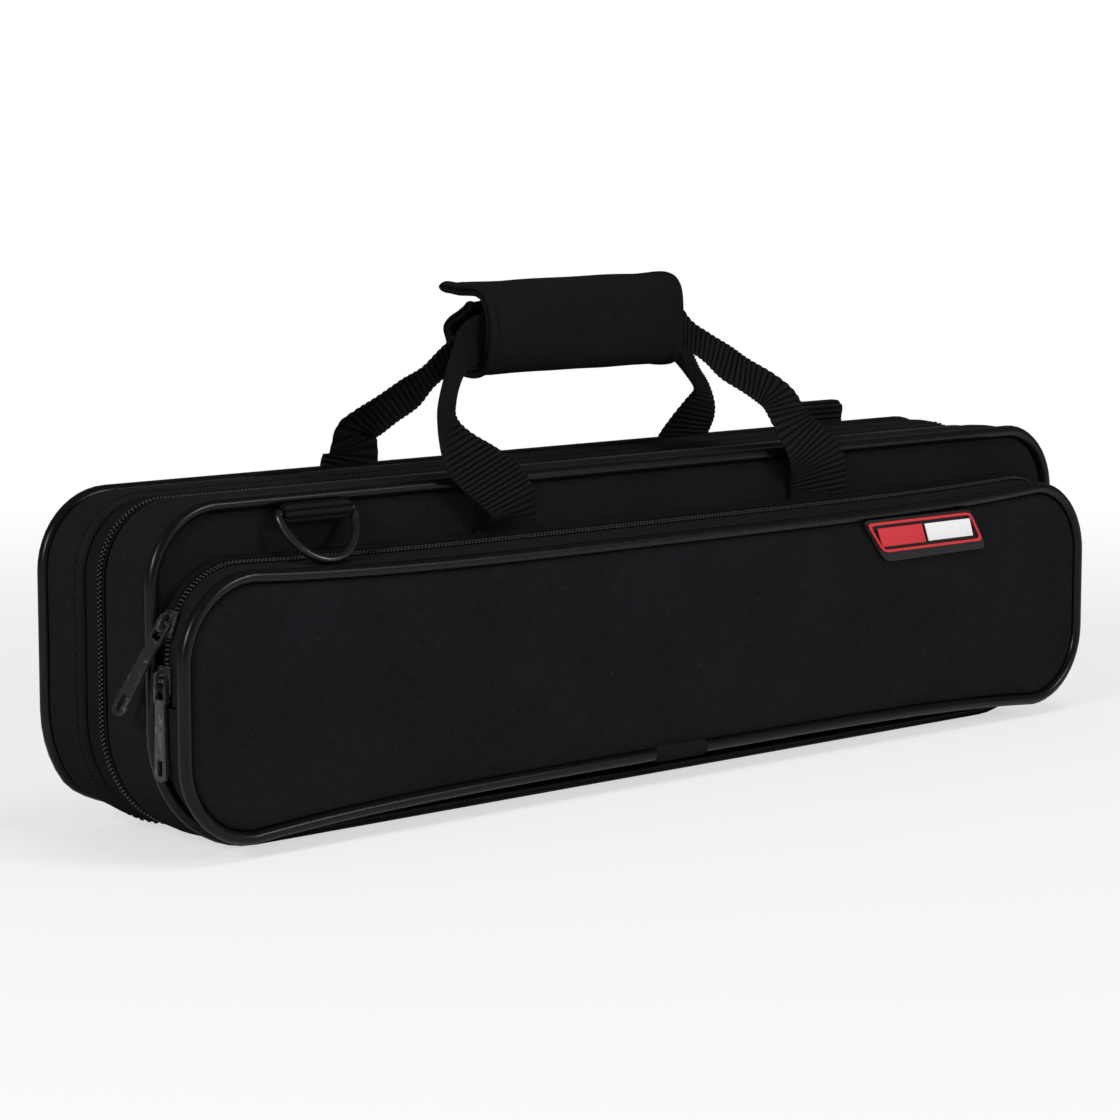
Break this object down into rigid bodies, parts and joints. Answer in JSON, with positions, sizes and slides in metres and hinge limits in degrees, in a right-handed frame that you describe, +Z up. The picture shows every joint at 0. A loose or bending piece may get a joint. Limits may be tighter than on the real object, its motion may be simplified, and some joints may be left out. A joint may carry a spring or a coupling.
{
  "type": "flute case",
  "caption": "Soft zipped flute case with a front pocket, a two-strap webbing handle with a padded grip, and shoulder strap rings.",
  "frame": {"origin": "middle of the overall length and depth, on the plane that the case's long bottom side rests on", "axes": "+X to the right along the case, seen from the pocket's side; +Y from the pocket to the plain back; +Z up"},
  "size_m": [0.4594, 0.0902, 0.1784],
  "materials": {
    "badge_black": "moulded soft rubber, satin",
    "badge_red": "raised red rubber",
    "badge_white": "raised white rubber",
    "fabric": "fine woven nylon, matte",
    "piping": "glossy vinyl-covered cord",
    "plush": "short plush pile",
    "ring_metal": "black coated steel wire",
    "webbing": "ribbed polypropylene webbing",
    "zip_metal": "black enamel on zinc, worn bright on edges",
    "zip_tape": "woven zip tape with a fine coil"
  },
  "bodies": {
    "rear_half": {"rear_shell": "fabric", "rear_piping": "piping", "zip_rear_half": "zip_tape", "hinge_strip": "fabric", "flute_insert": "plush", "rear_strap": "webbing", "rear_ring_tab": "webbing"},
    "lid": {"lid_shell": "fabric", "lid_piping": "piping", "zip_lid_half": "zip_tape", "lid_lining": "plush", "front_strap": "webbing", "grip_wrap": "fabric", "front_ring_tab": "webbing", "pocket_zip_rear_half": "zip_tape", "pocket_gusset_fold": "fabric"},
    "pocket_front": {"pocket_panel": "fabric", "pocket_piping": "piping", "piping_sleeve": "fabric", "pocket_zip_front_half": "fabric", "badge_base": "badge_black", "badge_frame": "badge_red", "badge_stripe": "badge_white"},
    "flap": {"grip_flap": "fabric"},
    "front_d_ring": {"front_ring": "ring_metal"},
    "rear_d_ring": {"rear_ring": "ring_metal"},
    "pocket_upper_slider": {"pocket_slider_upper": "zip_metal"},
    "pocket_upper_pull": {"pocket_slider_upper_pull": "zip_metal"},
    "pocket_lower_slider": {"pocket_slider_lower": "zip_metal"},
    "pocket_lower_pull": {"pocket_slider_lower_pull": "zip_metal"},
    "main_upper_slider": {"main_slider_upper": "zip_metal"},
    "main_upper_pull": {"main_slider_upper_pull": "zip_metal"},
    "main_lower_slider": {"main_slider_lower": "zip_metal"},
    "main_lower_pull": {"main_slider_lower_pull": "zip_metal"}
  },
  "joints": [
    {"name": "lid_hinge", "type": "hinge", "parent": "rear_half", "child": "lid", "pos_m": [0, 0.00375, 0], "axis": [1, 0, 0], "range_deg": [0, 170], "deforming": ["hinge_strip", "grip_flap"]},
    {"name": "pocket_open", "type": "hinge", "parent": "lid", "child": "pocket_front", "pos_m": [0, -0.03665, 0.0069], "axis": [1, 0, 0], "range_deg": [0, 16], "deforming": ["pocket_gusset_fold"]},
    {"name": "grip_flap_open", "type": "hinge", "parent": "lid", "child": "flap", "pos_m": [-0.012, 0.0145, 0.1454], "axis": [1, 0, 0], "range_deg": [-110, 0]},
    {"name": "front_ring_swing", "type": "hinge", "parent": "lid", "child": "front_d_ring", "pos_m": [-0.154, -0.02745, 0.1079], "axis": [1, 0, 0], "range_deg": [-140, 0]},
    {"name": "rear_ring_swing", "type": "hinge", "parent": "rear_half", "child": "rear_d_ring", "pos_m": [0.154, 0.04105, 0.1193], "axis": [1, 0, 0], "range_deg": [0, 140]},
    {"name": "pocket_upper_slider_travel", "type": "hinge", "parent": "lid", "child": "pocket_upper_slider", "pos_m": [-0.19211, -0.03005, 0.06691], "axis": [0, 1, 0], "range_deg": [-5, 12]},
    {"name": "pocket_upper_pull_lift", "type": "hinge", "parent": "pocket_upper_slider", "child": "pocket_upper_pull", "pos_m": [-0.22021, -0.03005, 0.07769], "axis": [0, 0.9613, 0.2756], "range_deg": [0, 110]},
    {"name": "pocket_lower_slider_travel", "type": "slide", "parent": "lid", "child": "pocket_lower_slider", "axis": [0, 0, 1], "range_m": [-0.0025, 0.0035]},
    {"name": "pocket_lower_pull_lift", "type": "hinge", "parent": "pocket_lower_slider", "child": "pocket_lower_pull", "pos_m": [-0.22221, -0.03005, 0.0595], "axis": [0, 1, 0], "range_deg": [0, 80]},
    {"name": "main_upper_slider_travel", "type": "slide", "parent": "rear_half", "child": "main_upper_slider", "axis": [0, 0, 1], "range_m": [-0.0015, 0.012]},
    {"name": "main_upper_pull_lift", "type": "hinge", "parent": "main_upper_slider", "child": "main_upper_pull", "pos_m": [0.224, 0.00375, 0.074], "axis": [0, -1, 0], "range_deg": [0, 110]},
    {"name": "main_lower_slider_travel", "type": "slide", "parent": "rear_half", "child": "main_lower_slider", "axis": [0, 0, 1], "range_m": [-0.012, 0.0015]},
    {"name": "main_lower_pull_lift", "type": "hinge", "parent": "main_lower_slider", "child": "main_lower_pull", "pos_m": [0.224, 0.00375, 0.038], "axis": [0, -1, 0], "range_deg": [0, 110]}
  ]
}
